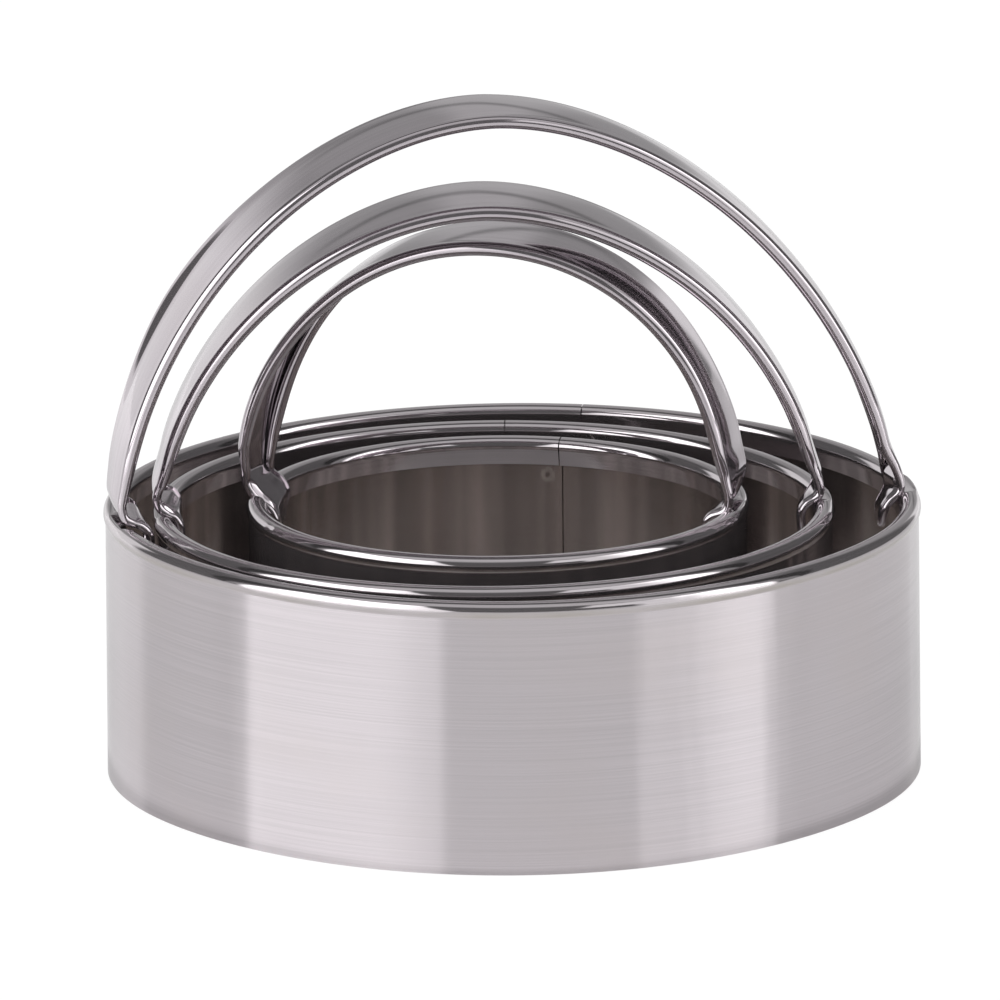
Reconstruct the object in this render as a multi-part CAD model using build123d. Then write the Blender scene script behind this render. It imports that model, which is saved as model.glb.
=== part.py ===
from build123d import *
import os
from math import acos, cos, degrees, pi, radians, sin, tan

# A nest of round pastry cutters. Each is a thin steel ring with a curled rim and an arched strap
# handle, whose ends hook over the rim and are spot welded to it. The rings stand on one surface,
# the smallest innermost, and the handles arch over one another.
# Millimetres, +Z up. The origin is the centre of the large ring, at its cutting edge.

# Strip and rim, the same on all rings
ring_sheet = 0.3
ring_height = 32.5
bead_radius = 1.15
bead_bulge = 0.25
lip_drop = 3.3
lip_lean = 0.35
seam_lap = 4.5
seam_gap = 0.15

# Handle strap, the same on all handles: a crowned web between two curled edges, the rails
strap_sheet = 0.35
rail_radius = 0.85
strap_crown = 0.35
curl_angle = 290.0

# Hooked strap ends: each leg stands over the rim, leans in past the bead and drops inside
weld_gap = 0.04
hook_slope = 47.0
hook_reach = 3.8
hook_step = 1.9
hook_depth = 4.4
hook_bend_radius = 1.5
hook_rail_radius = 0.62
hook_crown = 0.15
hook_tip_share = 0.56

# Rings: the largest, and the room left inside a ring's hooks for the next ring
large_ring_radius = 48.0
medium_room = 3.3
small_room = 5.9

# Where the inner rings lie in the nest, measured from the ring outside them
nest_gap = 0.8
medium_shift_angle = 205.0
small_shift_share = 0.548
small_shift_angle = 80.0

# Seams, as angles round each ring from +X
large_seam_angle = 79.3
medium_seam_angle = 87.8
small_seam_angle = 74.5

# Handles: heights as a rise over the rim and the headroom from one handle to the next above
small_handle_rise = 31.0
medium_headroom = 3.65
large_headroom = 8.65

# Each handle: its widths, the turn of its plane, how far that plane passes beside the ring's
# centre, how far the top leans, how full its sides and its top are, and its legs' insets from the wall
large_top_width = 12.4
large_end_width = 7.6
large_heading = 9.2
large_beside = -0.75
large_apex_shift = -2.5
large_side_fullness = 1.9
large_top_fullness = 1.57
large_left_inset = 1.0
large_right_inset = 2.6
medium_top_width = 12.4
medium_end_width = 6.8
medium_heading = 3.7
medium_beside = 0.75
medium_apex_shift = -0.1
medium_side_fullness = 1.95
medium_top_fullness = 1.55
medium_left_inset = 0.75
medium_right_inset = 1.9
small_top_width = 10.8
small_end_width = 6.8
small_heading = -11.5
small_beside = 0.0
small_apex_shift = 1.0
small_side_fullness = 2.1
small_top_fullness = 1.71
small_left_inset = 0.3
small_right_inset = 1.35
small_twist = 27.0

# Counts of sections, and how far a cut runs past what it cuts
arch_steps = 24
bend_steps = 3
twist_power = 3
overrun = 1.0


def polar(radius, angle, height=0):
    """The point at a radius, an angle in degrees and a height."""
    return Vector(radius * cos(radians(angle)), radius * sin(radians(angle)), height)


# Sizes that follow from those above
bead_inset = bead_radius - bead_bulge
hook_inset = hook_reach + hook_rail_radius
medium_ring_radius = large_ring_radius - hook_inset - medium_room - bead_bulge
small_ring_radius = medium_ring_radius - hook_inset - small_room - bead_bulge
medium_centre = polar(medium_room - nest_gap, medium_shift_angle)
small_centre = medium_centre + polar(small_room * small_shift_share, small_shift_angle)
small_apex = ring_height + small_handle_rise
medium_apex = small_apex + 2 * rail_radius + strap_crown + medium_headroom
large_apex = medium_apex + 2 * rail_radius + strap_crown + large_headroom


class Cutter:
    """The sizes and the place of one cutter of the nest."""

    def __init__(self, name, ring, plane, apex, widths, fullness, insets, twist=0):
        self.name = name
        self.radius, self.centre, self.seam = ring
        self.heading, self.beside = plane
        self.apex, self.shift = apex
        self.top_width, self.end_width = widths
        self.side_fullness, self.top_fullness = fullness
        self.left_inset, self.right_inset = insets
        self.twist = twist
        self.along = polar(1, self.heading)
        self.across = polar(1, self.heading + 90)

    def twist_at(self, side):
        """How far the strap is twisted at its left end (-1) or its right end (1), in degrees."""
        return self.twist if side < 0 else 0

    def inset_at(self, side):
        """How far inside the ring's wall the leg stands at that end."""
        return self.left_inset if side < 0 else self.right_inset

    def leg(self, side):
        """Where the leg stands, in plan."""
        reach = side * (self.radius - self.inset_at(side))
        return self.centre + self.along * reach + self.across * self.beside


# The rim


def crease_angle(inset, radius):
    """How far below the bead's centre its circle meets a wall at that inset, in degrees."""
    return degrees(acos(inset / radius))


def arc(centre, radius, start, end):
    """An arc in the XY plane from one angle to another, in degrees."""
    at = [centre + polar(radius, start + (end - start) * share) for share in (0, 1 / 2, 1)]
    return Edge.make_three_point_arc(*at)


def closed_face(edges):
    """A face inside edges that follow each other."""
    return Face(Wire(edges))


def rim_section(radius):
    """The strip's section, with its top curled inward into an open bead with a hanging lip."""
    sheet = ring_sheet
    bead = Vector(radius - bead_inset, ring_height - bead_radius)
    outer = arc(bead, bead_radius, -crease_angle(bead_inset, bead_radius), 180)
    inner_radius = bead_radius - sheet
    inner = arc(bead, inner_radius, 180, -crease_angle(bead_inset - sheet, inner_radius))
    lip = Vector(bead.X - bead_radius + lip_lean, ring_height - lip_drop)
    outline = [Edge.make_line(Vector(radius, 0), outer @ 0), outer]
    outline += [Edge.make_line(outer @ 1, lip), Edge.make_line(lip, lip + Vector(sheet, 0))]
    outline += [Edge.make_line(lip + Vector(sheet, 0), inner @ 0), inner]
    outline += [Edge.make_line(inner @ 1, Vector(radius - sheet, 0))]
    outline += [Edge.make_line(Vector(radius - sheet, 0), Vector(radius, 0))]
    return Plane.XZ * closed_face(outline)


def crease_height(radius):
    """The height at which the outer wall meets the bead."""
    drop = bead_radius * sin(radians(crease_angle(bead_inset, bead_radius)))
    return ring_height - bead_radius - drop


def seam_patch(radius):
    """The inner layer where the strip's ends overlap, beside the seam at +X."""
    depth = 2 * ring_sheet - ring_sheet / 2
    height = crease_height(radius)
    middle = radius - 2 * ring_sheet + depth / 2
    layer = Plane.XZ * Pos(middle, height / 2) * Rectangle(depth, height)
    return revolve(layer, Axis.Z, revolution_arc=degrees(seam_lap / radius))


def seam_slit(radius):
    """What the butt of the two strip ends leaves open: the bead, and the lip below it."""
    crease = crease_height(radius)
    reach = 2 * bead_radius + overrun
    tall = ring_height + overrun - crease
    slit = Pos(radius + overrun - reach / 2, 0, crease + tall / 2) * Box(reach, seam_gap, tall)
    deep = crease - ring_height + lip_drop + overrun
    lip = reach - bead_radius - overrun
    return slit + Pos(radius + overrun - reach + lip / 2, 0, crease - deep / 2) * Box(lip, seam_gap, deep)


def ring(cutter):
    """The ring: one strip, rolled, lapped and welded along its seam."""
    body = revolve(rim_section(cutter.radius), Axis.Z) + Rot(0, 0, cutter.seam) * seam_patch(cutter.radius)
    return Pos(cutter.centre) * (body - Rot(0, 0, cutter.seam) * seam_slit(cutter.radius))


# The strap


def curl(side, centre, radius, start, end):
    """Two arcs that follow a curled edge from one angle to another, on one side of the strap."""
    half = (start + end) / 2
    if side < 0:
        start, half, end = 180 - start, 180 - half, 180 - end
    at = Vector(side * centre, 0)
    return [arc(at, radius, start, half), arc(at, radius, half, end)]


def strap_section(width, rail, crown):
    """The strap's section: X across it, Y outward, with both edges curled under and in."""
    rail_centre = width / 2 - rail
    last = 90 - curl_angle
    bore = rail - strap_sheet
    top = [Vector(side * rail_centre, rail) for side in (-1, 1)]
    under = [Vector(side * rail_centre, bore) for side in (1, -1)]
    right_out = curl(1, rail_centre, rail, 90, last)
    right_in = curl(1, rail_centre, bore, last, 90)
    left_in = curl(-1, rail_centre, bore, 90, last)
    left_out = curl(-1, rail_centre, rail, last, 90)
    outline = [Edge.make_three_point_arc(top[0], Vector(0, rail + crown), top[1])] + right_out
    outline += [Edge.make_line(right_out[1] @ 1, right_in[0] @ 0)] + right_in
    outline += [Edge.make_three_point_arc(under[0], Vector(0, bore + crown), under[1])] + left_in
    outline += [Edge.make_line(left_in[1] @ 1, left_out[0] @ 0)] + left_out
    return closed_face(outline)


def reach_over(cutter, side):
    """How much further in a hook sits, since the strap is straight across and may be twisted."""
    sagitta = (cutter.end_width / 2 + abs(cutter.beside)) ** 2 / (2 * cutter.radius)
    return sagitta + (cutter.end_width / 2 - rail_radius) * sin(radians(cutter.twist_at(side)))


def hook_path(cutter, side):
    """The hook's line from the leg down, as (inset, height over the rim, lean off vertical)."""
    lean = 90 - hook_slope
    over = reach_over(cutter, side)
    clear = bead_radius + rail_radius + weld_gap + over * sin(radians(hook_slope))
    leg_inset = cutter.inset_at(side)
    reach = max(hook_reach, leg_inset + hook_step) + over
    insets = (leg_inset, reach)
    high, low = [(clear - (inset - bead_inset) * sin(radians(hook_slope))) / cos(radians(hook_slope))
                 - bead_radius for inset in insets]
    back = hook_bend_radius * tan(radians(lean / 2))
    bend = []
    for step in range(bend_steps + 1):
        turn = lean * step / bend_steps
        along = hook_bend_radius * sin(radians(turn))
        across = hook_bend_radius * (1 - cos(radians(turn)))
        bend.append((across, back - along, turn))
    line = [(leg_inset + across, high + along, turn) for across, along, turn in bend]
    line += [(reach - across, low - along, turn) for across, along, turn in reversed(bend)]
    tip = low - back + hook_depth
    line += [(reach, low - back - tip * step / bend_steps, 0) for step in range(1, bend_steps + 1)]
    return line


def hook_widths(cutter, line):
    """The width and the rail at each point of the hook, rounded in towards its tip."""
    widths = []
    tip_height = line[-1][1]
    for place, (inset, height, turn) in enumerate(line):
        gone = place / (len(line) - 1)
        rail = rail_radius + (hook_rail_radius - rail_radius) * min(1, 2 * gone)
        left = min(1, (height - tip_height) / (cutter.end_width / 2))
        narrow = hook_tip_share + (1 - hook_tip_share) * (1 - (1 - left) ** 2) ** (1 / 2)
        crown = strap_crown + (hook_crown - strap_crown) * gone
        widths.append((cutter.end_width * narrow, rail, crown))
    return widths


def arch_frames(cutter):
    """Places, directions and widths along the arch, from its left leg to its right."""
    middle = (cutter.leg(-1) + cutter.leg(1)) / 2
    half_span = (cutter.leg(1) - cutter.leg(-1)).length / 2
    frames = []
    for step in range(arch_steps + 1):
        angle = pi * step / arch_steps
        way = -1 if 2 * step < arch_steps else 1
        run = abs(cos(angle)) ** (2 / cutter.side_fullness) * way
        up = abs(sin(angle)) ** (2 / cutter.top_fullness) if 0 < step < arch_steps else 0
        base = ring_height + hook_path(cutter, way)[0][1]
        rise = cutter.apex - base
        lean = cutter.shift * up**2
        place = middle + cutter.along * (half_span * run + lean) + Vector(0, 0, base + rise * up)
        side = cutter.side_fullness * abs(run) ** (cutter.side_fullness - 1) / half_span * way
        top = cutter.top_fullness * up ** (cutter.top_fullness - 1) - side * 2 * cutter.shift * up
        normal = (cutter.along * side + Vector(0, 0, top / rise)).normalized()
        travel = cutter.across.cross(normal)
        turn = radians(cutter.twist_at(way) * (1 - up) ** twist_power)
        width = cutter.end_width + (cutter.top_width - cutter.end_width) * up
        spread = cutter.across * cos(turn) - normal * sin(turn)
        frames.append((place, spread, travel, (width, rail_radius, strap_crown)))
    return frames


def hook_frames(cutter, side):
    """Places, directions and widths along one hook, from its leg to its tip."""
    turned = cutter.heading - cutter.twist_at(side)
    inward = polar(-side, turned)
    spread = polar(1, turned + 90)
    line = hook_path(cutter, side)
    frames = []
    for (inset, height, turn), widths in zip(line, hook_widths(cutter, line)):
        gone = inset - cutter.inset_at(side)
        place = cutter.leg(side) + inward * gone + Vector(0, 0, ring_height + height)
        travel = inward * sin(radians(turn)) - Vector(0, 0, cos(radians(turn)))
        frames.append((place, spread, travel * side, widths))
    return frames


def strap(frames, ruled):
    """A stretch of the strap through its frames."""
    sections = []
    for place, spread, travel, widths in frames:
        sections.append(Plane(origin=place, x_dir=spread, z_dir=travel) * strap_section(*widths))
    return loft(sections, ruled=ruled)


def handle(cutter):
    """The strap handle, from one hooked end over the arch to the other."""
    arch = strap(arch_frames(cutter), False)
    return arch + strap(hook_frames(cutter, -1)[::-1], True) + strap(hook_frames(cutter, 1), True)


cutters = [
    Cutter("large", (large_ring_radius, Vector(0, 0, 0), large_seam_angle),
           (large_heading, large_beside), (large_apex, large_apex_shift),
           (large_top_width, large_end_width), (large_side_fullness, large_top_fullness),
           (large_left_inset, large_right_inset)),
    Cutter("medium", (medium_ring_radius, medium_centre, medium_seam_angle),
           (medium_heading, medium_beside), (medium_apex, medium_apex_shift),
           (medium_top_width, medium_end_width), (medium_side_fullness, medium_top_fullness),
           (medium_left_inset, medium_right_inset)),
    Cutter("small", (small_ring_radius, small_centre, small_seam_angle),
           (small_heading, small_beside), (small_apex, small_apex_shift),
           (small_top_width, small_end_width), (small_side_fullness, small_top_fullness),
           (small_left_inset, small_right_inset), small_twist),
]

os.makedirs("parts", exist_ok=True)
for cutter in cutters:
    for piece, shape in (("ring", ring(cutter)), ("handle", handle(cutter))):
        export_step(shape, "parts/" + cutter.name + "_" + piece + ".step")
        print(cutter.name, piece, len(shape.solids()), shape.is_valid, round(shape.volume, 2))
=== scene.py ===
"""A nest of three stainless biscuit cutters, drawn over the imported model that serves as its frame.

Lengths in the tables and in the section functions are in millimetres. They turn into metres where
the meshes are made. An inset is measured from a ring's outer wall towards its centre.
"""
import math

import bpy
from mathutils import Matrix, Vector, noise


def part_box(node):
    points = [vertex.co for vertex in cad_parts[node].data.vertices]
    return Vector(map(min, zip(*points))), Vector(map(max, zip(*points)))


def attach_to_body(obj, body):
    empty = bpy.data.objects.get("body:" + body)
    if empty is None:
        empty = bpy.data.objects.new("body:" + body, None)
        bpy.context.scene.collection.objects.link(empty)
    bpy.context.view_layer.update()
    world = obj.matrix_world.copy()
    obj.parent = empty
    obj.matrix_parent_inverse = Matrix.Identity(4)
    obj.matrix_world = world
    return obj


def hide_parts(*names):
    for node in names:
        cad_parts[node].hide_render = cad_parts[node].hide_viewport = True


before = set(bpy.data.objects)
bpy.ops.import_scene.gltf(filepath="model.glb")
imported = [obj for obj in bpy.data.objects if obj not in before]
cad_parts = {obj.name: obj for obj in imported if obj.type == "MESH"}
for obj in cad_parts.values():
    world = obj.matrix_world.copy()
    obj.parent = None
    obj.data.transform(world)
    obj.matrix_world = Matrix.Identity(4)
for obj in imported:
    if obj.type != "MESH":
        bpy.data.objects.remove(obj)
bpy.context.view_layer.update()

MM = 0.001
RING_HEIGHT = 32.5
RING_SHEET = 0.3
STRAP_SHEET = 0.35
BEAD_BULGE = 0.25
BEAD_RADIUS = 1.15
BEAD_INSET = 0.9
CREASE_DROP = 1.866

BEAD_START = 218.5
LIP_DEPTH = 3.3
LIP_LEAN = 0.35
SEAM_SLIT = 0.15

WALL_STEPS = 16
BEAD_STEPS = 24
LIP_STEPS = 6

# How the rim is pressed down where a strap crosses it
NOTCH_MARGIN = 0.3
NOTCH_RISE = 1.2
NOTCH_REACH = 1.6
STATION_STEP = 0.3

# The strap: its curled edges, the web between them and its rounded tips
CURL_SWEEP = 290.0
CURL_STEPS = 20
WEB_STEPS = 14
WEB_BEND = 0.22
ARCH_STEPS = 120
HOOK_STEPS = 14
HOOK_CLEARANCE = 2.2
DENSE_STEP = 0.2
FINE_STEP, COARSE_STEP = 0.25, 0.8
JOIN_ARCH, JOIN_HOOK = 100.0, 205.0
HOOK_CURL, TIP_CURL = 0.5, 0.4
HOOK_CROWN = 0.03
TIP_LENGTH = 2.4
PROUD_LIFT, PROUD_HEIGHT, PROUD_WIDTH = 0.72, 58, 11

WELD_ASIDE, WELD_HEIGHT = 1.8, 27.7
FLOOR_HALF, FLOOR_DROP = 0.9, 0.00004

RINGS = {
    "large": {
        "body": "large_cutter",
        "seam": 79.3,
        "trim": -0.515,
        "waves": [(2, 0.15, 90.0), (3, 0.31, 0.0), (4, 0.35, 90.0)],
        "flare": 0.16,
        "ripples": [
            (294.0, 5.0, 0.014, 100.0), (250.0, 6.0, 0.008, 60.0), (311.0, 3.0, 0.016, 60.0)],
    },
    "medium": {
        "body": "medium_cutter",
        "seam": 87.8,
        "trim": -0.03,
        "waves": [(2, 0.03, 20.0), (5, 0.03, 70.0)],
        "flare": 0.03,
        "ripples": [(333.0, 5.0, 0.03, 90.0), (195.0, 6.0, 0.02, 60.0)],
    },
    "small": {
        "body": "small_cutter",
        "seam": 74.5,
        "trim": -0.03,
        "waves": [(2, 0.03, 50.0), (5, 0.03, 10.0)],
        "flare": 0.03,
        "ripples": [(207.0, 6.0, 0.04, 70.0), (330.0, 6.0, 0.04, 70.0)],
    },
}

# Each handle's arch and hooks. An arm is the distance from the strap's middle to a rail's axis. A
# hook is given as the run of its near and of its far rail, each a list of (inset, height) from the
# arch down to the tip. bend is the height at which the web changes sides, press how far the rim is
# pushed down at the near and the far rail, as (outer half, inner half).
HANDLES = {
    "large": {
        "centre": (0.0, 0.0), "radius": 48.0,
        "heading": 9.2, "plane_twist": -4.5, "beside": -0.76,
        "reach": 46.25, "apex": 79.78, "side_power": 1.86, "top_power": 1.75,
        "top_arm": 5.42, "end_arm": 3.08, "rail": 0.82, "skew": -1.84, "shift": -1.03,
        "crown": 0.22, "proud": "left",
        "left": {
            "twist": 0.0, "span": 18.0, "bend": 33.8, "press": ((0.2, 1.5), (0.2, 1.4)),
            "near": [(1.12, 35.6), (1.09, 35.0), (1.25, 34.0), (1.69, 33.12), (2.41, 32.82),
                     (3.12, 32.52), (3.84, 32.05), (4.25, 31.45), (4.37, 30.98), (4.4, 28.8)],
            "far": [(0.75, 36.2), (0.8, 35.4), (1.4, 34.6), (2.4, 34.1), (3.2, 33.4),
                    (3.5, 32.5), (3.9, 31.8), (4.5, 31.2), (4.7, 30.5), (4.7, 28.8)]},
        "right": {
            "twist": 0.0, "span": 18.0, "bend": 34.0, "press": ((0.12, 1.9), (0.15, 1.6)),
            "near": [(2.7, 35.1), (2.19, 33.63), (2.06, 32.43), (2.28, 31.92), (2.95, 31.32),
                     (3.59, 30.75), (4.02, 30.04), (4.22, 29.28), (4.25, 27.6)],
            "far": [(3.1, 35.2), (2.94, 33.84), (2.7, 32.7), (2.5, 31.7), (2.6, 31.0),
                    (2.9, 30.4), (3.4, 29.6), (3.7, 28.8), (3.8, 27.6)]},
    },
    "medium": {
        "centre": (-2.31, -1.11), "radius": 40.03,
        "heading": 3.7, "plane_twist": 0.0, "beside": 0.4,
        "reach": 38.75, "apex": 68.92, "side_power": 1.87, "top_power": 1.85,
        "top_arm": 6.3, "end_arm": 2.3, "rail": 0.88, "skew": -0.27, "shift": -0.64,
        "crown": 0.22, "proud": "",
        "left": {
            "twist": 0.0, "span": 18.0, "bend": 34.3, "press": ((0.4, 1.6), (0.2, 1.4)),
            "near": [(0.63, 35.08), (0.49, 34.16), (0.6, 33.54), (0.95, 32.91), (1.48, 32.52),
                     (2.21, 32.2), (2.67, 31.75), (3.03, 31.12), (3.2, 30.49), (3.25, 28.6)],
            "far": [(0.75, 36.2), (1.1, 35.2), (1.8, 34.5), (2.5, 34.0), (2.95, 33.4),
                    (3.05, 32.8), (2.95, 32.1), (2.8, 31.4), (2.8, 30.4), (2.8, 28.6)]},
        "right": {
            "twist": 0.0, "span": 18.0, "bend": 34.6, "press": ((0.15, 1.7), (0.2, 1.4)),
            "near": [(2.33, 36.49), (1.68, 34.77), (1.44, 33.65), (1.52, 32.79), (2.19, 32.21),
                     (3.02, 31.81), (3.6, 31.05), (3.7, 30.29), (3.61, 29.52), (3.6, 27.7)],
            "far": [(2.2, 36.6), (1.7, 35.3), (1.52, 33.9), (1.7, 33.0), (2.2, 32.2),
                    (2.7, 31.4), (3.2, 30.6), (3.4, 29.8), (3.4, 29.0), (3.4, 27.7)]},
    },
    "small": {
        "centre": (-1.71, 2.09), "radius": 29.46,
        "heading": -11.5, "plane_twist": 0.0, "beside": 0.3,
        "reach": 28.85, "apex": 63.62, "side_power": 2.04, "top_power": 2.13,
        "top_arm": 5.3, "end_arm": 2.48, "rail": 0.85, "skew": 0.39, "shift": -0.61,
        "crown": 0.12, "proud": "",
        "left": {
            "twist": 23.0, "span": 31.0, "bend": 33.8, "wider": 1.6,
            "press": ((1.9, 2.9), (0.2, 1.3)),
            "near": [(-0.44, 34.97), (-0.37, 33.4), (0.0, 32.24), (0.75, 31.5), (1.68, 31.06),
                     (2.43, 30.47), (2.82, 29.79), (3.12, 28.95), (3.2, 26.5)],
            "far": [(1.34, 34.9), (1.38, 33.6), (1.8, 33.01), (2.56, 32.65), (3.25, 32.06),
                    (3.54, 31.21), (3.3, 30.26), (2.9, 29.3), (2.7, 26.5)]},
        "right": {
            "twist": 10.0, "span": 18.0, "bend": 35.5, "press": ((0.15, 1.6), (0.2, 1.4)),
            "near": [(1.75, 36.6), (1.52, 35.33), (1.27, 34.04), (1.33, 32.94), (1.87, 32.06),
                     (2.55, 31.86), (3.39, 31.57), (3.9, 31.04), (4.1, 30.2), (4.1, 28.8)],
            "far": [(0.7, 36.8), (0.85, 35.6), (1.2, 34.6), (1.56, 33.59), (2.17, 32.59),
                    (2.77, 31.79), (3.4, 31.2), (3.8, 30.6), (3.9, 29.9), (3.9, 28.8)]},
    },
}


def clamp(value, low=0.0, high=1.0):
    return max(low, min(high, value))


def ease(value):
    """0 to 1 with a soft start and end."""
    value = clamp(value)
    return value * value * (3 - 2 * value)


def lerp(a, b, share):
    return a + (b - a) * share


def hump(distance, width):
    """A smooth bump: 1 at distance 0, about 0 beyond two widths."""
    return math.exp(-(distance / width) ** 2)


def curve_through(knots, position):
    """A smooth curve through knots (position, value, value ...), read at a position."""
    last = len(knots) - 2
    index = 0
    while index < last and position > knots[index + 1][0]:
        index += 1
    before, start = knots[max(index - 1, 0)], knots[index]
    end, after = knots[index + 1], knots[min(index + 2, last + 1)]
    span = end[0] - start[0]
    share = clamp((position - start[0]) / span)
    values = []
    for axis in range(1, len(start)):
        slope_in = (end[axis] - before[axis]) / max(end[0] - before[0], 1e-9) * span
        slope_out = (after[axis] - start[axis]) / max(after[0] - start[0], 1e-9) * span
        s2, s3 = share * share, share ** 3
        values.append(
            (2 * s3 - 3 * s2 + 1) * start[axis] + (s3 - 2 * s2 + share) * slope_in
            + (3 * s2 - 2 * s3) * end[axis] + (s3 - s2) * slope_out
        )
    return values


# ---------------------------------------------------------------- where things are

def ring_place(cutter):
    """Centre and outer wall radius of a ring, in millimetres, from the frame."""
    low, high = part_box(cutter + "_ring")
    centre = (low + high) / 2 / MM
    return Vector((centre.x, centre.y)), (high.x - low.x) / 2 / MM - BEAD_BULGE


def plane_of(handle):
    """Base point and direction of a handle's arch plane, seen from above."""
    heading = math.radians(handle["heading"])
    along = Vector((math.cos(heading), math.sin(heading)))
    across = Vector((-along.y, along.x))
    base = Vector(handle["centre"]) + across * handle["beside"]
    return base, along, across


def reach_to(base, along, centre, radius, side):
    """How far along the line from base the circle is met, on one side."""
    offset = base - centre
    lean = offset.dot(along)
    return -lean + side * math.sqrt(lean * lean - offset.dot(offset) + radius * radius)


def notch_angle(cutter, side):
    """The angle on the ring at which a leg of the strap crosses the bead."""
    centre, radius = ring_place(cutter)
    base, along, _ = plane_of(HANDLES[cutter])
    far = reach_to(base, along, centre, radius - BEAD_INSET, side)
    point = base + along * far - centre
    return math.atan2(point.y, point.x)


# ---------------------------------------------------------------- meshes

def sheet_mesh(name, outer, inner, lengths, values):
    """A strip of sheet: rows of outer and inner skin points, joined along and capped at its ends.

    lengths holds the distance along the strip of each row, values one dict of numbers per row
    and point for the named attributes. The attribute inner is 1 on the inner skin.
    """
    rows = len(outer)
    count = len(outer[0])
    loop = 2 * count
    points = []
    for skin, back in zip(outer, inner):
        points.extend(skin)
        points.extend(reversed(back))
    faces = []
    uvs = []
    around = [0.0]
    first = points[:loop]
    for index in range(loop):
        step = (first[(index + 1) % loop] - first[index]).length
        around.append(around[-1] + step)
    for row in range(rows - 1):
        after = row + 1
        start, end = lengths[row], lengths[after]
        for index in range(loop):
            following = (index + 1) % loop
            faces.append((
                row * loop + index, after * loop + index,
                after * loop + following, row * loop + following,
            ))
            uvs.append((
                (start, around[index]), (end, around[index]),
                (end, around[index + 1]), (start, around[index + 1]),
            ))
    for row, flip in ((0, False), (rows - 1, True)):
        offset = row * loop
        for index in range(count - 1):
            face = [
                offset + index, offset + index + 1,
                offset + loop - 2 - index, offset + loop - 1 - index,
            ]
            if flip:
                face.reverse()
            faces.append(tuple(face))
            uvs.append(((0.0, 0.0), (0.0, 0.1), (0.1, 0.1), (0.1, 0.0)))
    mesh = bpy.data.meshes.new(name)
    mesh.from_pydata([point * MM for point in points], [], faces)
    layer = mesh.uv_layers.new(name="strip")
    corners = [corner for face in uvs for corner in face]
    layer.data.foreach_set("uv", [number for corner in corners for number in corner])
    for key in values[0][0]:
        attribute = mesh.attributes.new(key, "FLOAT", "POINT")
        numbers = []
        for row in values:
            numbers.extend(item[key] for item in row)
            numbers.extend(item[key] for item in reversed(row))
        attribute.data.foreach_set("value", numbers)
    backs = mesh.attributes.new("inner", "FLOAT", "POINT")
    backs.data.foreach_set("value", ([0.0] * count + [1.0] * count) * rows)
    mesh.update()
    for polygon in mesh.polygons:
        polygon.use_smooth = True
    mesh.set_sharp_from_angle(angle=math.radians(50))
    mesh.validate()
    shape = bpy.data.objects.new(name, mesh)
    bpy.context.scene.collection.objects.link(shape)
    return shape


def offset_path(path, depth):
    """The path moved to its right by depth, in the plane."""
    moved = []
    for index, (x, z) in enumerate(path):
        x0, z0 = path[max(index - 1, 0)]
        x1, z1 = path[min(index + 1, len(path) - 1)]
        dx, dz = x1 - x0, z1 - z0
        size = math.hypot(dx, dz) or 1.0
        moved.append((x + dz / size * depth, z - dx / size * depth))
    return moved


# ---------------------------------------------------------------- rings

def free_section():
    """The outer skin of a ring's section as (inset, height), from the cutting edge to the lip."""
    wall_top = RING_HEIGHT - CREASE_DROP
    path = [(0.0, (wall_top - 0.06) * step / (WALL_STEPS - 1)) for step in range(WALL_STEPS)]
    start = math.radians(BEAD_START)
    for step in range(BEAD_STEPS + 1):
        angle = start * (1 - step / BEAD_STEPS)
        path.append((
            BEAD_INSET + BEAD_RADIUS * math.cos(angle),
            RING_HEIGHT - BEAD_RADIUS + BEAD_RADIUS * math.sin(angle),
        ))
    inner, top = path[-1]
    for step in range(1, LIP_STEPS + 1):
        share = step / LIP_STEPS
        path.append((inner - LIP_LEAN * share, lerp(top, RING_HEIGHT - LIP_DEPTH, share)))
    return path


FREE = free_section()


def pressed_section(outer_drop, inner_drop):
    """The rim pushed down under a strap, as knots (section index, inset, drop under the top)."""
    return [
        (0, 0.0, max(1.87, outer_drop * 0.7 + 1.1)), (5, -0.2, max(1.33, outer_drop + 0.2)),
        (11, 0.12, outer_drop), (16, 1.05, (outer_drop * 1.2 + inner_drop * 0.8) / 2),
        (22, 2.0, inner_drop), (25, 2.2, inner_drop + 0.65), (30, 2.15, inner_drop + 1.9),
    ]


def notch_weights(distance, half):
    """How far the rim is pressed at a distance from the strap: inner half and outer half."""
    gone = (abs(distance) - half) / NOTCH_RISE
    if gone <= 0:
        inner = 1.0
    elif gone >= 1:
        inner = 0.0
    else:
        inner = 1 - math.sqrt(1 - (1 - gone) ** 2)
    outer = 1 - ease((abs(distance) - half * 0.6) / (half * 0.9))
    return inner, outer


def ring_section(notches, turn, radius):
    """The outer skin at one angle, with the rim pressed down where a strap crosses it."""
    path = list(FREE)
    for angle, half, near, press in notches:
        away = (turn - angle + math.pi) % (2 * math.pi) - math.pi
        distance = away * radius
        if abs(distance) > half * NOTCH_REACH + 1:
            continue
        inner, outer = notch_weights(distance, half)
        share = clamp(0.5 - 0.5 * near * distance / half)
        drops = [lerp(a, b, share) for a, b in zip(*press)]
        knots = pressed_section(*drops)
        for index in range(WALL_STEPS, len(path)):
            place = index - WALL_STEPS
            weight = lerp(outer, inner, ease((place - 9) / 5))
            inset, drop = curve_through(knots, place)
            x, z = path[index]
            path[index] = (lerp(x, inset, weight), lerp(z, RING_HEIGHT - drop, weight))
    return path


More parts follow.
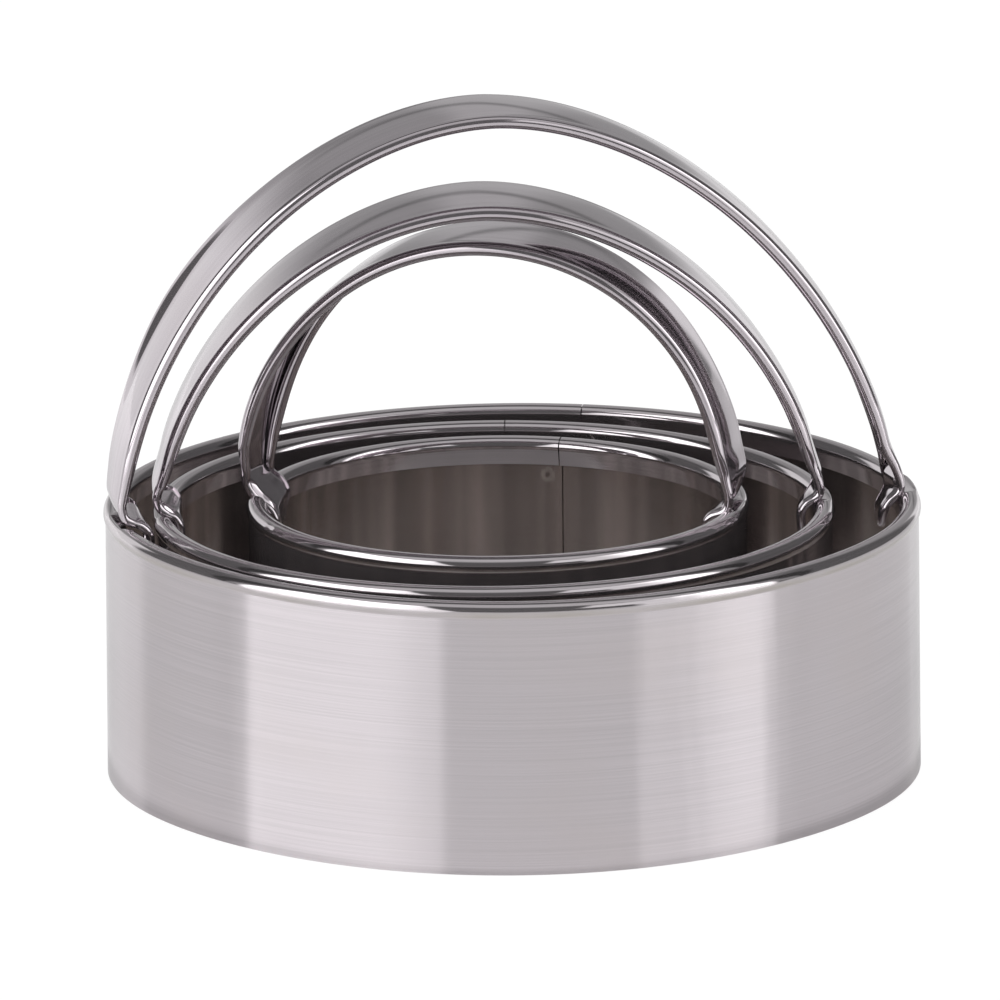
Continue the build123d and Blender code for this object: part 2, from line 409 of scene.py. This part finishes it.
def stations(notches, seam, radius):
    """Angles round the ring from one side of the seam to the other, closer at the notches."""
    slit = SEAM_SLIT / 2 / radius
    angles = {round(seam + slit, 6), round(seam + 2 * math.pi - slit, 6)}
    for step in range(1, 360):
        angles.add(round(seam + math.radians(step), 6))
    for angle, half, _, _ in notches:
        offsets = [STATION_STEP * step for step in range(int(half / STATION_STEP) + 1)]
        offsets += [half + NOTCH_RISE * (step / 10) ** 2 for step in range(11)]
        offsets += [half + NOTCH_RISE + 0.4 * step for step in range(1, 8)]
        for offset in offsets:
            for sign in (-1, 1):
                turn = (angle + sign * offset / radius - seam) % (2 * math.pi)
                if slit < turn < 2 * math.pi - slit:
                    angles.add(round(seam + turn, 6))
    return sorted(angles)


def wall_waves(shape, turn, height):
    """Small departures of the wall from a true circle, in millimetres outward."""
    size = shape["trim"]
    for order, amount, phase in shape["waves"]:
        size += amount * math.sin(order * turn + math.radians(phase))
    size += shape["flare"] * (1 - height / RING_HEIGHT)
    place = Vector((4 * math.cos(turn), 4 * math.sin(turn), height / 22))
    size += 0.018 * noise.noise(place + Vector((shape["seam"], 0, 0)))
    for angle, width, amount, ripple in shape["ripples"]:
        away = (math.degrees(turn) - angle + 180) % 360 - 180
        away += 1.2 * math.sin(height / 9 + angle)
        size += amount * hump(away, width) * math.cos(math.radians(away * ripple))
    return size


def build_ring(cutter):
    """One ring with its rolled rim, its seam and its pressed notches, as a single open strip."""
    shape = RINGS[cutter]
    centre, radius = ring_place(cutter)
    notches = []
    handle = HANDLES[cutter]
    for side, key in ((-1, "left"), (1, "right")):
        wider = handle[key].get("wider", 0.0)
        half = handle["end_arm"] + NOTCH_MARGIN + wider / 2
        angle = notch_angle(cutter, side) - side * wider / 2 / radius
        notches.append((angle, half, -side, handle[key]["press"]))
    outer, inner, lengths, values = [], [], [], []
    for turn in stations(notches, math.radians(shape["seam"]), radius):
        path = ring_section(notches, turn, radius)
        back = offset_path(path, RING_SHEET)
        direction = Vector((math.cos(turn), math.sin(turn)))
        rows = []
        for line in (path, back):
            points = []
            for inset, height in line:
                size = radius - inset + wall_waves(shape, turn, height)
                flat = centre + direction * size
                points.append(Vector((flat.x, flat.y, max(height, 0.0))))
            rows.append(points)
        outer.append(rows[0])
        inner.append(rows[1])
        lengths.append((turn - math.radians(shape["seam"])) * radius)
        # each point's polish, and how much painted shade darkens the bead just above the crease
        values.append([
            {
                "polish": ease((index - WALL_STEPS + 2) / 3),
                "grime": hump(index - WALL_STEPS - 2, 2.5) if index >= WALL_STEPS else 0.0,
            } for index in range(len(path))
        ])
    return sheet_mesh(cutter + "_ring_steel", outer, inner, lengths, values)


# ---------------------------------------------------------------- handles

def arch_point(handle, turn):
    """(along, height, arm) of the strap's middle at a turn from 0 at the left to pi."""
    cosine, sine = math.cos(turn), math.sin(turn)
    run = math.copysign(abs(cosine) ** (2 / handle["side_power"]), cosine)
    rise = abs(sine) ** (2 / handle["top_power"])
    along = -handle["reach"] * run + handle["skew"] * rise + handle["shift"]
    height = lerp(RING_HEIGHT - 1.5, handle["apex"], rise)
    arm = lerp(handle["end_arm"], handle["top_arm"], rise)
    return along, height, arm


def twist_of(handle, reach, height):
    """How far the strap is turned about the vertical at a place on the arch, in radians."""
    turned = handle["plane_twist"] * reach / handle["reach"]
    side = handle["left"] if reach < 0 else handle["right"]
    low = 1 - ease((height - 33) / side["span"])
    return math.radians(turned - side["twist"] * low)


def even_steps(points, count):
    """The polyline read at evenly spaced steps."""
    lengths = [0.0]
    for a, b in zip(points, points[1:]):
        lengths.append(lengths[-1] + math.dist(a, b))
    table = [(length,) + tuple(point) for length, point in zip(lengths, points)]
    return [curve_through(table, lengths[-1] * step / count) for step in range(count + 1)]


def hook_knots(handle, side, key):
    """The near and the far rail down one hook, joined as six numbers per knot."""
    heading = math.radians(handle["heading"])
    along = Vector((math.cos(heading), math.sin(heading)))
    across = Vector((-along.y, along.x))
    rails = []
    for rail, arm in (("near", -handle["end_arm"]), ("far", handle["end_arm"])):
        places = []
        for inset, height in even_steps(handle[key][rail], HOOK_STEPS):
            flat = Vector(handle["centre"]) + across * (handle["beside"] + arm)
            flat += along * side * (handle["radius"] - inset)
            places.append((flat.x, flat.y, height))
        rails.append(places)
    return [near + far for near, far in zip(*rails)]


def smooth_line(points, rounds):
    """Averages each point with its neighbours, ends kept."""
    for _ in range(rounds):
        points = [points[0]] + [
            tuple((a + 2 * b + c) / 4 for a, b, c in zip(points[i - 1], points[i], points[i + 1]))
            for i in range(1, len(points) - 1)
        ] + [points[-1]]
    return points


def middle_lengths(knots):
    """How far along the strap's middle line each knot lies."""
    lengths = [0.0]
    for a, b in zip(knots, knots[1:]):
        step = [(b[axis] + b[axis + 3] - a[axis] - a[axis + 3]) / 2 for axis in range(3)]
        lengths.append(lengths[-1] + math.hypot(*step))
    return lengths


def strap_line(cutter):
    """Both rails from tip to tip as rows of (length, near point, far point)."""
    handle = HANDLES[cutter]
    base, along, across = plane_of(handle)
    left = hook_knots(handle, -1, "left")
    right = hook_knots(handle, 1, "right")
    knots = left[::-1]
    for step in range(1, ARCH_STEPS):
        reach, height, arm = arch_point(handle, math.pi * step / ARCH_STEPS)
        hook = left if reach < 0 else right
        if height < max(hook[0][2], hook[0][5]) + HOOK_CLEARANCE:
            continue
        twist = twist_of(handle, reach, height)
        middle = base + along * reach
        spread = (across * math.cos(twist) - along * math.sin(twist)) * arm
        near, far = middle - spread, middle + spread
        knots.append((near.x, near.y, height, far.x, far.y, height))
    knots += right
    run = middle_lengths(knots)
    table = [(place,) + tuple(knot) for place, knot in zip(run, knots)]
    count = int(run[-1] / DENSE_STEP)
    dense = [tuple(curve_through(table, run[-1] * step / count)) for step in range(count + 1)]
    dense = smooth_line(dense, 5)
    run = middle_lengths(dense)
    rows = []
    place = 0.0
    index = 0
    while place < run[-1]:
        while run[index + 1] < place:
            index += 1
        share = (place - run[index]) / (run[index + 1] - run[index])
        rows.append((place, [lerp(a, b, share) for a, b in zip(dense[index], dense[index + 1])]))
        edge = min(place, run[-1] - place)
        place += lerp(FINE_STEP, COARSE_STEP, ease((edge - 9) / 5))
    rows.append((run[-1], list(dense[-1])))
    return [(place, Vector(row[:3]), Vector(row[3:])) for place, row in rows]


def strap_skin(arm, rail, crown, attach, lift, depth):
    """One skin of the strap's section: both curled edges and the web, X across and Y outward.

    attach is the angle on the curls at which the web joins them, lift how far the far curl stands
    above the web, which bends up to meet it.
    """
    size = rail - depth
    curls = []
    joins = []
    for side, raised in ((-1, 0.0), (1, lift)):
        curl = []
        for step in range(CURL_STEPS + 1):
            turn = math.radians(attach - CURL_SWEEP * (1 - step / CURL_STEPS))
            curl.append((side * (arm + size * math.cos(turn)), size * math.sin(turn) + raised))
        curls.append(curl)
        turn = math.radians(attach)
        joins.append((side * (arm + rail * math.cos(turn)), rail * math.sin(turn) - depth))
    (near_x, near_y), (far_x, far_y) = joins
    web = []
    for step in range(1, WEB_STEPS):
        share = step / WEB_STEPS
        bow = crown * 4 * share * (1 - share) + lift * ease((WEB_BEND - share) / WEB_BEND)
        web.append((lerp(far_x, near_x, share), lerp(far_y, near_y, share) + bow))
    return curls[1] + web + curls[0][::-1]


def build_handle(cutter):
    """One strap handle with rolled edges, bent into hooks over the ring's bead at both ends."""
    handle = HANDLES[cutter]
    line = strap_line(cutter)
    total = line[-1][0]
    outer, inner, lengths, values = [], [], [], []
    for index, (length, near_rail, far_rail) in enumerate(line):
        before, after = line[max(index - 1, 0)], line[min(index + 1, len(line) - 1)]
        tangent = (after[1] + after[2] - before[1] - before[2]).normalized()
        middle = (near_rail + far_rail) / 2
        height = middle.z
        spread = far_rail - near_rail
        spread -= tangent * spread.dot(tangent)
        arm = spread.length / 2
        spread.normalize()
        outward = tangent.cross(spread)
        side = "left" if length < total / 2 else "right"
        hook = handle[side]
        edge = min(length, total - length)
        low = 1 - ease((height - 31) / 12)
        rail = lerp(handle["rail"], HOOK_CURL, low)
        tip = clamp(edge / TIP_LENGTH)
        narrow = math.sqrt(1 - (1 - tip) ** 2 * (1 - 0.45 ** 2))
        arm = arm * narrow
        rail = lerp(rail, TIP_CURL, (1 - ease(edge / 2.5)))
        hooked = 1 - ease((height - hook["bend"] + 0.9) / 1.8)
        crown = lerp(handle["crown"], HOOK_CROWN, hooked)
        attach = lerp(JOIN_ARCH, JOIN_HOOK, hooked)
        lift = 0.0
        if handle["proud"] == side:
            lift = PROUD_LIFT * hump(height - PROUD_HEIGHT, PROUD_WIDTH)
        rows = []
        for depth in (0.0, min(STRAP_SHEET, rail - 0.12)):
            skin = strap_skin(arm, rail, crown, attach, lift, depth)
            rows.append([middle + spread * x + outward * y for x, y in skin])
        outer.append(rows[0])
        inner.append(rows[1])
        lengths.append(length)
        values.append([{"polish": 1.0, "grime": 0.0} for _ in rows[0]])
    return sheet_mesh(cutter + "_handle_steel", outer, inner, lengths, values)


# ---------------------------------------------------------------- shader maths

class Graph:
    """Shader nodes written as calls. A value may be a number or a socket."""

    def __init__(self, tree):
        self.tree = tree
        tree.nodes.clear()

    def node(self, kind, **settings):
        node = self.tree.nodes.new(kind)
        for key, value in settings.items():
            setattr(node, key, value)
        return node

    def put(self, socket, value):
        if isinstance(value, bpy.types.NodeSocket):
            self.tree.links.new(value, socket)
        else:
            socket.default_value = value

    def math(self, operation, *values):
        node = self.node("ShaderNodeMath", operation=operation)
        for socket, value in zip(node.inputs, values):
            self.put(socket, value)
        return node.outputs[0]

    def smooth(self, value, start, end, low=0.0, high=1.0):
        node = self.node("ShaderNodeMapRange", interpolation_type="SMOOTHSTEP")
        for name, item in (
            ("Value", value), ("From Min", start), ("From Max", end),
            ("To Min", low), ("To Max", high),
        ):
            self.put(node.inputs[name], item)
        return node.outputs[0]

    def window(self, value, start, end, soft):
        """1 between start and end, softly 0 outside."""
        rise = self.smooth(value, start - soft, start + soft)
        fall = self.smooth(value, end - soft, end + soft, 1.0, 0.0)
        return self.math("MULTIPLY", rise, fall)

    def blend(self, share, a, b):
        """Number a where share is 0 and b where it is 1."""
        node = self.node("ShaderNodeMix", data_type="FLOAT")
        self.put(node.inputs["Factor"], share)
        self.put(node.inputs[2], a)
        self.put(node.inputs[3], b)
        return node.outputs[0]

    def tint(self, share, a, b):
        """Colour a where share is 0 and b where it is 1."""
        node = self.node("ShaderNodeMix", data_type="RGBA")
        self.put(node.inputs["Factor"], share)
        self.put(node.inputs[6], a)
        self.put(node.inputs[7], b)
        return node.outputs[2]


def steel(name, brushed, polished, tone, back_tone, grain):
    """Stainless sheet: fine lines along the strip and a cloudy polish.

    In a ring it also has painted upright streaks of light and shade on the inner face, painted shade
    on the bead just above the crease, and the seam's weld mark.
    """
    material = bpy.data.materials.new(name)
    material.use_nodes = True
    graph = Graph(material.node_tree)
    strip = graph.node("ShaderNodeUVMap", uv_map="strip").outputs[0]
    apart = graph.node("ShaderNodeSeparateXYZ")
    graph.put(apart.inputs[0], strip)
    polish = graph.node("ShaderNodeAttribute", attribute_name="polish").outputs["Fac"]

    def streaks(along, across, detail):
        join = graph.node("ShaderNodeCombineXYZ")
        graph.put(join.inputs[0], graph.math("MULTIPLY", apart.outputs[0], along))
        graph.put(join.inputs[1], graph.math("MULTIPLY", apart.outputs[1], across))
        cloud = graph.node("ShaderNodeTexNoise")
        graph.put(cloud.inputs["Vector"], join.outputs[0])
        graph.put(cloud.inputs["Scale"], 1.0)
        graph.put(cloud.inputs["Detail"], detail)
        return cloud.outputs["Fac"]

    lines = streaks(0.02, 5.0, 3.0)
    hair = streaks(0.15, 14.0, 2.0)
    cloudy = streaks(0.05, 0.06, 3.0)
    rough = graph.blend(polish, brushed, polished)
    rough = graph.math("MULTIPLY", rough, graph.smooth(lines, 0.3, 0.7, 0.85, 1.15))
    rough = graph.math("MULTIPLY", rough, graph.smooth(cloudy, 0.3, 0.7, 0.9, 1.15))
    inner = graph.node("ShaderNodeAttribute", attribute_name="inner").outputs["Fac"]
    dark = [channel * 0.93 for channel in tone] + [1.0]
    pale = [channel * 1.05 for channel in tone] + [1.0]
    shade = graph.tint(graph.smooth(lines, 0.25, 0.75), dark, pale)
    warm = [tone[0], tone[1] * 0.985, tone[2] * 0.96, 1.0]
    shade = graph.tint(graph.smooth(cloudy, 0.45, 0.75, 0.0, 0.5), shade, warm)
    # painted light and shade: upright streaks on the inner face, standing in for the streaky
    # reflections seen within the rings
    upright_light_streaks = streaks(0.16, 0.004, 2.0)
    dim = [channel * 0.86 for channel in back_tone] + [1.0]
    bright = [min(channel * 1.22, 0.95) for channel in back_tone] + [1.0]
    back = graph.tint(graph.smooth(upright_light_streaks, 0.38, 0.66), dim, bright)
    inner_wall = graph.math("MULTIPLY", inner, graph.math("SUBTRACT", 1.0, polish))
    shade = graph.tint(inner_wall, shade, back)
    local = graph.node("ShaderNodeSeparateXYZ")
    graph.put(local.inputs[0], graph.node("ShaderNodeTexCoord").outputs["Object"])
    aside = graph.math("SUBTRACT", apart.outputs[0], WELD_ASIDE)
    level = graph.math("MULTIPLY", local.outputs[2], 1 / MM)
    lower = graph.math("SUBTRACT", level, WELD_HEIGHT)
    away = graph.math("SQRT", graph.math(
        "ADD", graph.math("MULTIPLY", aside, aside), graph.math("MULTIPLY", lower, lower)))
    ragged = graph.math("ADD", away, graph.math("MULTIPLY", streaks(1.1, 1.1, 2.0), 0.8))
    halo = graph.math("MULTIPLY", graph.smooth(ragged, 1.5, 1.1), inner)
    shade = graph.tint(graph.math("MULTIPLY", halo, 0.55), shade, (0.92, 0.88, 0.86, 1.0))
    core = graph.math("MULTIPLY", graph.smooth(ragged, 0.85, 0.6), inner)
    shade = graph.tint(graph.math("MULTIPLY", core, 0.7), shade, (0.30, 0.26, 0.25, 1.0))
    # painted shade: a brown-tan darkening of the bead just above the crease, standing in for the
    # shade there
    grime = graph.node("ShaderNodeAttribute", attribute_name="grime").outputs["Fac"]
    crease_shade_share = graph.math("MULTIPLY", grime, graph.smooth(cloudy, 0.35, 0.65, 0.1, 0.6))
    shade = graph.tint(crease_shade_share, shade, (0.40, 0.37, 0.31, 1.0))
    bump = graph.node("ShaderNodeBump")
    graph.put(bump.inputs["Strength"], 0.06)
    graph.put(bump.inputs["Distance"], 0.00002)
    graph.put(bump.inputs["Height"], hair)
    tangent = graph.node("ShaderNodeTangent", direction_type="UV_MAP", uv_map="strip")
    metal = graph.node("ShaderNodeBsdfPrincipled")
    graph.put(metal.inputs["Base Color"], shade)
    graph.put(metal.inputs["Metallic"], 0.93)
    graph.put(metal.inputs["Roughness"], rough)
    graph.put(metal.inputs["Anisotropic"], grain)
    graph.put(metal.inputs["Anisotropic Rotation"], 0.25)
    graph.put(metal.inputs["Tangent"], tangent.outputs[0])
    graph.put(metal.inputs["Normal"], bump.outputs[0])
    out = graph.node("ShaderNodeOutputMaterial")
    graph.put(out.inputs["Surface"], metal.outputs[0])
    return material


# ---------------------------------------------------------------- studio

def build_world():
    """The white studio as a sky: low lamps beside the camera, a dim top and a backdrop.

    Angles are in degrees: height above the horizon, turn from the camera's side to the right.
    """
    world = bpy.data.worlds.new("studio")
    bpy.context.scene.world = world
    world.use_nodes = True
    graph = Graph(world.node_tree)
    direction = graph.node("ShaderNodeTexCoord").outputs["Generated"]
    apart = graph.node("ShaderNodeSeparateXYZ")
    graph.put(apart.inputs[0], direction)
    x, y, z = apart.outputs
    height = graph.math("DEGREES", graph.math("ARCSINE", z))
    front = graph.math("MULTIPLY", y, -1.0)
    turn = graph.math("DEGREES", graph.math("ARCTAN2", x, front))
    aside = graph.math("ABSOLUTE", turn)
    # over runs from 0 at the back horizon through 90 overhead to 180 at the front horizon
    over = graph.math("DEGREES", graph.math("ARCTAN2", z, y))
    astern = graph.math("SUBTRACT", 180.0, aside)
    right_side = graph.smooth(x, -0.04, 0.04)
    back = graph.smooth(aside, 140.0, 158.0)
    sky = graph.blend(back, 0.13, graph.smooth(astern, 3.0, 8.0, 0.6, 0.43))
    top = graph.window(height, 50.0, 100.0, 8.0)
    sky = graph.blend(top, sky, 0.5)
    ahead = graph.window(over, 92.0, 122.0, 6.0)
    sky = graph.math("ADD", sky, graph.math("MULTIPLY", ahead, 0.25))
    gap = graph.window(over, 68.0, 88.0, 3.0)
    sky = graph.math("MULTIPLY", sky, graph.blend(gap, 1.0, 0.2))
    line = graph.window(height, 12.4, 14.4, 0.7)
    line = graph.math("MULTIPLY", line, graph.smooth(aside, 158.0, 170.0))
    sky = graph.math("MULTIPLY", sky, graph.blend(line, 1.0, 0.5))
    low_edge = graph.math("ADD", graph.math("MULTIPLY", height, 0.35), 14.0)
    left = graph.window(graph.math("ADD", turn, low_edge), -200.0, -4.0, 2.0)
    left = graph.math("MULTIPLY", left, graph.smooth(turn, -87.0, -83.0))
    right = graph.window(graph.math("SUBTRACT", turn, low_edge), 0.0, 200.0, 2.0)
    right = graph.math("MULTIPLY", right, graph.smooth(turn, 84.0, 79.0))
    cut = graph.smooth(turn, 38.0, 42.0)
    cut = graph.math("MAXIMUM", cut, graph.smooth(height, 19.0, 22.0))
    right = graph.math("MULTIPLY", right, cut)
    left = graph.math("MULTIPLY", left, graph.smooth(turn, -22.0, -46.0, 0.64, 1.16))
    right = graph.math("MULTIPLY", right, graph.smooth(turn, 50.0, 74.0, 0.44, 1.16))
    lamps = graph.math("ADD", left, right)
    lamps = graph.math("MULTIPLY", lamps, graph.window(height, -2.0, 46.0, 2.0))
    sky = graph.math("ADD", sky, graph.math("MULTIPLY", lamps, 2.4))
    below = graph.smooth(height, -0.5, 0.5, 1.0, 0.0)
    sky = graph.blend(below, sky, 0.74)
    # the bright backdrop beside the middle of the back, its edge slanting outwards with height
    lean = graph.math("SUBTRACT", astern, height)
    left_glow = graph.math(
        "MULTIPLY", graph.smooth(lean, 3.0, 21.0), graph.smooth(turn, -125.0, -133.0))
    right_glow = graph.math(
        "MULTIPLY", graph.smooth(lean, 6.0, 16.0), graph.smooth(astern, 29.0, 26.0))
    middle = graph.math(
        "MAXIMUM", graph.smooth(height, -5.0, -2.5), graph.smooth(astern, 8.0, 11.0))
    right_glow = graph.math("MULTIPLY", right_glow, middle)
    glow = graph.blend(right_side, left_glow, right_glow)
    glow = graph.math("MULTIPLY", glow, graph.window(height, -14.0, 24.0, 2.0))
    sky = graph.blend(glow, sky, 1.12)
    seen = graph.node("ShaderNodeLightPath").outputs["Is Camera Ray"]
    sky = graph.blend(seen, graph.math("MULTIPLY", sky, 0.8), 1.0)
    light = graph.node("ShaderNodeBackground")
    graph.put(light.inputs["Color"], (1.0, 1.0, 1.0, 1.0))
    graph.put(light.inputs["Strength"], sky)
    out = graph.node("ShaderNodeOutputWorld")
    graph.put(out.inputs["Surface"], light.outputs[0])


def build_floor():
    """A pale table, nearly white to the camera, with the object's shadow left faintly on it."""
    size = FLOOR_HALF
    corners = [(-size, -size), (size, -size), (size, size), (-size, size)]
    mesh = bpy.data.meshes.new("floor")
    mesh.from_pydata([(x, y, -FLOOR_DROP) for x, y in corners], [], [(0, 1, 2, 3)])
    floor = bpy.data.objects.new("floor", mesh)
    bpy.context.scene.collection.objects.link(floor)
    material = bpy.data.materials.new("floor")
    material.use_nodes = True
    graph = Graph(material.node_tree)
    matt = graph.node("ShaderNodeBsdfPrincipled")
    graph.put(matt.inputs["Base Color"], (0.86, 0.86, 0.86, 1.0))
    graph.put(matt.inputs["Roughness"], 0.09)
    graph.put(matt.inputs["IOR"], 1.25)
    # painted light: the table glows on its own as a stand-in for room light, strongly outside the
    # rings and only faintly within them, which leaves painted shade there
    place = graph.node("ShaderNodeTexCoord").outputs["Object"]
    reach = graph.node("ShaderNodeVectorMath", operation="LENGTH")
    graph.put(reach.inputs[0], place)
    ring_glow = graph.smooth(reach.outputs["Value"], 0.027, 0.033, 0.06, 0.17)
    outer_glow_share = graph.smooth(reach.outputs["Value"], 0.049, 0.052)
    graph.put(matt.inputs["Emission Strength"], graph.blend(outer_glow_share, ring_glow, 0.34))
    graph.put(matt.inputs["Emission Color"], (1.0, 1.0, 1.0, 1.0))
    glow = graph.node("ShaderNodeEmission")
    graph.put(glow.inputs["Strength"], 1.06)
    seen = graph.node("ShaderNodeLightPath").outputs["Is Camera Ray"]
    mix = graph.node("ShaderNodeMixShader")
    graph.put(mix.inputs[0], graph.math("MULTIPLY", seen, 0.9))
    graph.put(mix.inputs[1], matt.outputs[0])
    graph.put(mix.inputs[2], glow.outputs[0])
    out = graph.node("ShaderNodeOutputMaterial")
    graph.put(out.inputs["Surface"], mix.outputs[0])
    mesh.materials.append(material)


def build_camera():
    """The camera of the photo: far off, a little above, with a long lens."""
    data = bpy.data.cameras.new("camera")
    data.lens = 607.9
    data.sensor_width = 36.0
    data.clip_end = 10.0
    camera = bpy.data.objects.new("camera", data)
    bpy.context.scene.collection.objects.link(camera)
    turn = Matrix.Rotation(math.radians(0.042), 4, "Z")
    tilt = Matrix.Rotation(math.radians(90 - 14.461), 4, "X")
    roll = Matrix.Rotation(math.radians(-0.522), 4, "Z")
    camera.matrix_world = Matrix.Translation((0, -1.92855, 0.52980)) @ turn @ tilt @ roll
    bpy.context.scene.camera = camera


# ---------------------------------------------------------------- the nest

build_world()
build_floor()
build_camera()
bpy.context.scene.view_settings.view_transform = "Standard"

ring_steel = steel("ring_steel", 0.115, 0.07, (0.63, 0.588, 0.612), (0.64, 0.585, 0.565), 0.7)
handle_steel = steel("handle_steel", 0.075, 0.075, (0.63, 0.58, 0.615), (0.63, 0.58, 0.60), 0.0)

for cutter, shape in RINGS.items():
    ring = build_ring(cutter)
    ring.data.materials.append(ring_steel)
    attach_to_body(ring, shape["body"])
    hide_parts(cutter + "_ring")
    handle = build_handle(cutter)
    handle.data.materials.append(handle_steel)
    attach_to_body(handle, shape["body"])
    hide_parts(cutter + "_handle")
